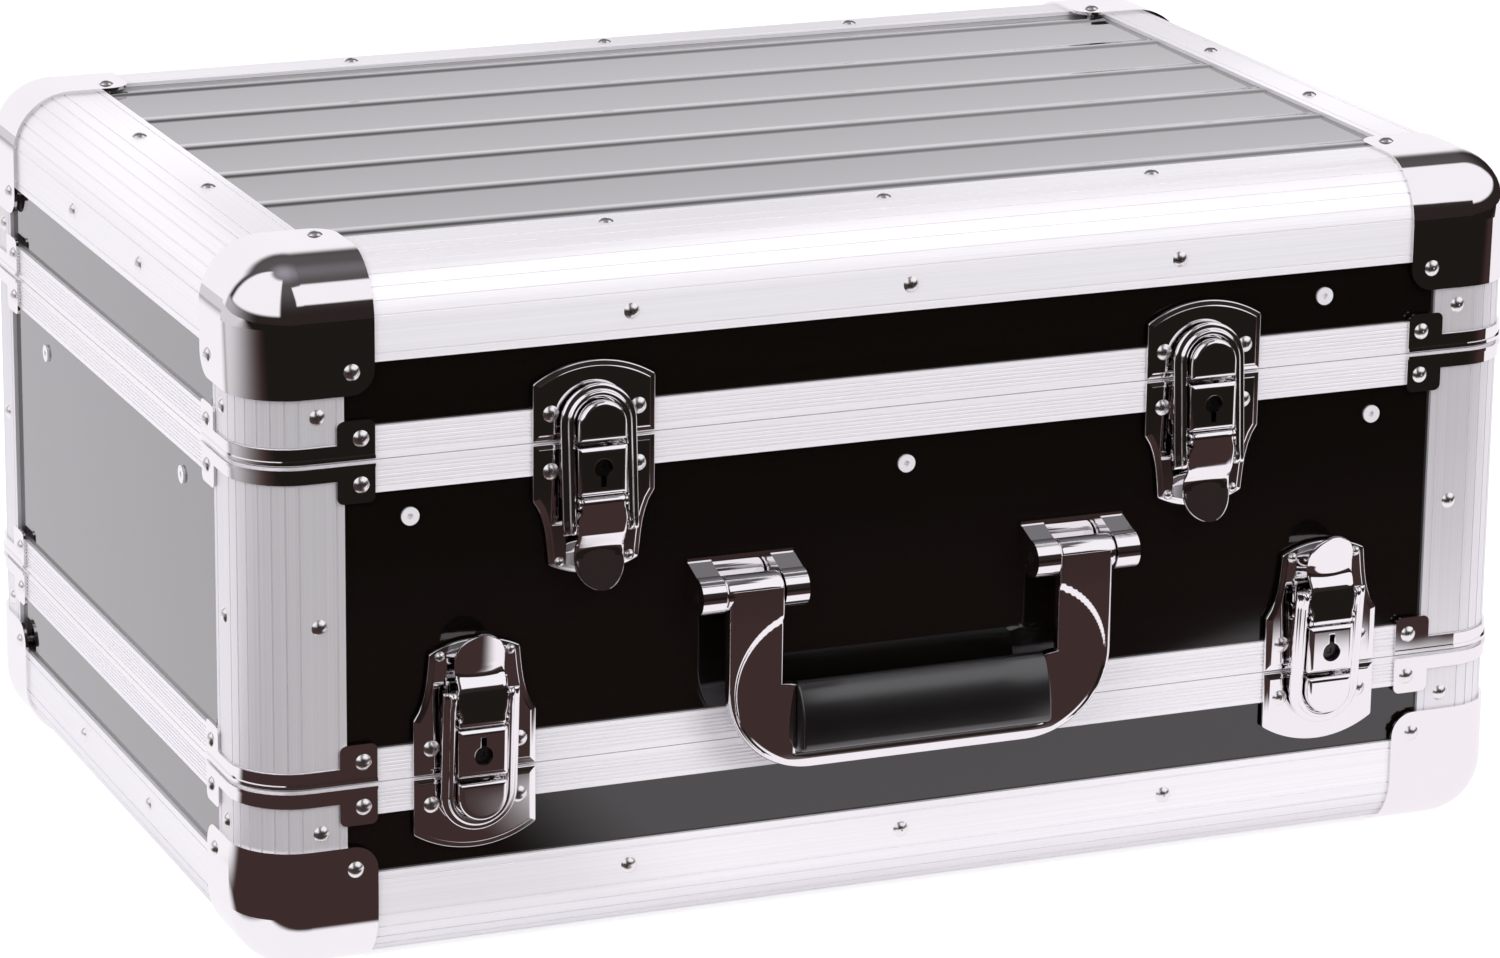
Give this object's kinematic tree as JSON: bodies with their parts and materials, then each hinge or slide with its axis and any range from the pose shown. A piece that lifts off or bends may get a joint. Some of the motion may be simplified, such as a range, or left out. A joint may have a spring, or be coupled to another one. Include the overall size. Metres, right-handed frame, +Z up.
{
  "type": "mixer flight case",
  "caption": "Flight case with a hinged lid, a hinged middle frame and a base tray of black boards in aluminium profiles, with ball corners, draw latches and a drop handle.",
  "frame": {"origin": "middle of the bounding box's bottom, at floor level", "axes": "+X to the right along the width, -Y to the front, +Z up"},
  "size_m": [0.5052, 0.3625, 0.2633],
  "materials": {
    "laminate": "black gloss laminate on plywood",
    "profile": "satin anodised, finely grooved",
    "chrome": "polished chrome",
    "rivet": "polished domes",
    "pop_rivet": "plain",
    "steel": "zinc plated",
    "batten_wood": "raw softwood",
    "padding": "dark foam",
    "grip_rubber": "matt black"
  },
  "bodies": {
    "base": {"base_floor_board": "laminate", "base_front_board": "laminate", "base_back_board": "laminate", "base_left_board": "laminate", "base_right_board": "laminate", "base_edges": "profile", "base_posts": "profile", "base_rim": "profile", "base_ball_corners": "chrome", "base_corner_straps": "chrome", "base_rivets": "rivet", "base_pad": "padding", "lower_catches": "chrome", "base_hinge_leaves": "chrome"},
    "middle": {"middle_front_board": "laminate", "middle_back_board": "laminate", "middle_left_board": "laminate", "middle_right_board": "laminate", "middle_posts": "profile", "middle_lower_rim": "profile", "middle_upper_rim": "profile", "middle_corner_straps": "chrome", "middle_rivets": "rivet", "pop_rivets": "pop_rivet", "battens": "batten_wood", "handle_mounts": "chrome", "handle_pins": "steel", "lever_plates": "chrome", "lock_covers": "chrome", "lock_cores": "steel", "lever_pins": "steel", "middle_upper_leaves": "chrome", "middle_lower_leaves": "chrome", "upper_hinge_pins": "steel", "lower_hinge_pins": "steel"},
    "lid": {"lid_top_board": "laminate", "lid_front_board": "laminate", "lid_back_board": "laminate", "lid_left_board": "laminate", "lid_right_board": "laminate", "lid_edges": "profile", "lid_posts": "profile", "lid_rim": "profile", "lid_ball_corners": "chrome", "lid_corner_straps": "chrome", "lid_rivets": "rivet", "lid_pad": "padding", "upper_catches": "chrome", "lid_hinge_leaves": "chrome", "lid_pop_rivet": "pop_rivet"},
    "handle": {"handle_frame": "chrome", "handle_grip": "grip_rubber"},
    "upper_left_lever_body": {"upper_left_lever": "chrome"},
    "upper_left_bail_body": {"upper_left_bail": "chrome"},
    "upper_right_lever_body": {"upper_right_lever": "chrome"},
    "upper_right_bail_body": {"upper_right_bail": "chrome"},
    "lower_left_lever_body": {"lower_left_lever": "chrome"},
    "lower_left_bail_body": {"lower_left_bail": "chrome"},
    "lower_right_lever_body": {"lower_right_lever": "chrome"},
    "lower_right_bail_body": {"lower_right_bail": "chrome"}
  },
  "joints": [
    {"name": "middle_hinge", "type": "hinge", "parent": "base", "child": "middle", "pos_m": [0, 0.17805, 0.0712], "axis": [-1, 0, 0], "range_deg": [0, 85]},
    {"name": "lid_hinge", "type": "hinge", "parent": "middle", "child": "lid", "pos_m": [0, 0.17805, 0.1897], "axis": [-1, 0, 0], "range_deg": [0, 85]},
    {"name": "handle_hinge", "type": "hinge", "parent": "middle", "child": "handle", "pos_m": [0, -0.16805, 0.1298], "axis": [-1, 0, 0], "range_deg": [0, 90]},
    {"name": "upper_left_lever_turn", "type": "hinge", "parent": "middle", "child": "upper_left_lever_body", "pos_m": [-0.1217, -0.16655, 0.1685], "axis": [-1, 0, 0], "range_deg": [0, 100]},
    {"name": "upper_left_bail_turn", "type": "hinge", "parent": "upper_left_lever_body", "child": "upper_left_bail_body", "pos_m": [-0.1217, -0.16545, 0.1597], "axis": [1, 0, 0], "range_deg": [0, 120]},
    {"name": "upper_right_lever_turn", "type": "hinge", "parent": "middle", "child": "upper_right_lever_body", "pos_m": [0.1177, -0.16655, 0.1685], "axis": [-1, 0, 0], "range_deg": [0, 100]},
    {"name": "upper_right_bail_turn", "type": "hinge", "parent": "upper_right_lever_body", "child": "upper_right_bail_body", "pos_m": [0.1177, -0.16545, 0.1597], "axis": [1, 0, 0], "range_deg": [0, 120]},
    {"name": "lower_left_lever_turn", "type": "hinge", "parent": "middle", "child": "lower_left_lever_body", "pos_m": [-0.1666, -0.16655, 0.0924], "axis": [1, 0, 0], "range_deg": [0, 100]},
    {"name": "lower_left_bail_turn", "type": "hinge", "parent": "lower_left_lever_body", "child": "lower_left_bail_body", "pos_m": [-0.1666, -0.16545, 0.1012], "axis": [-1, 0, 0], "range_deg": [0, 120]},
    {"name": "lower_right_lever_turn", "type": "hinge", "parent": "middle", "child": "lower_right_lever_body", "pos_m": [0.1706, -0.16655, 0.0924], "axis": [1, 0, 0], "range_deg": [0, 100]},
    {"name": "lower_right_bail_turn", "type": "hinge", "parent": "lower_right_lever_body", "child": "lower_right_bail_body", "pos_m": [0.1706, -0.16545, 0.1012], "axis": [-1, 0, 0], "range_deg": [0, 120]}
  ],
  "couplings": [
    {"joint": "upper_left_bail_turn", "follows": "upper_left_lever_turn", "ratio": 1.2},
    {"joint": "upper_right_bail_turn", "follows": "upper_right_lever_turn", "ratio": 1.2},
    {"joint": "lower_left_bail_turn", "follows": "lower_left_lever_turn", "ratio": 1.2},
    {"joint": "lower_right_bail_turn", "follows": "lower_right_lever_turn", "ratio": 1.2}
  ]
}
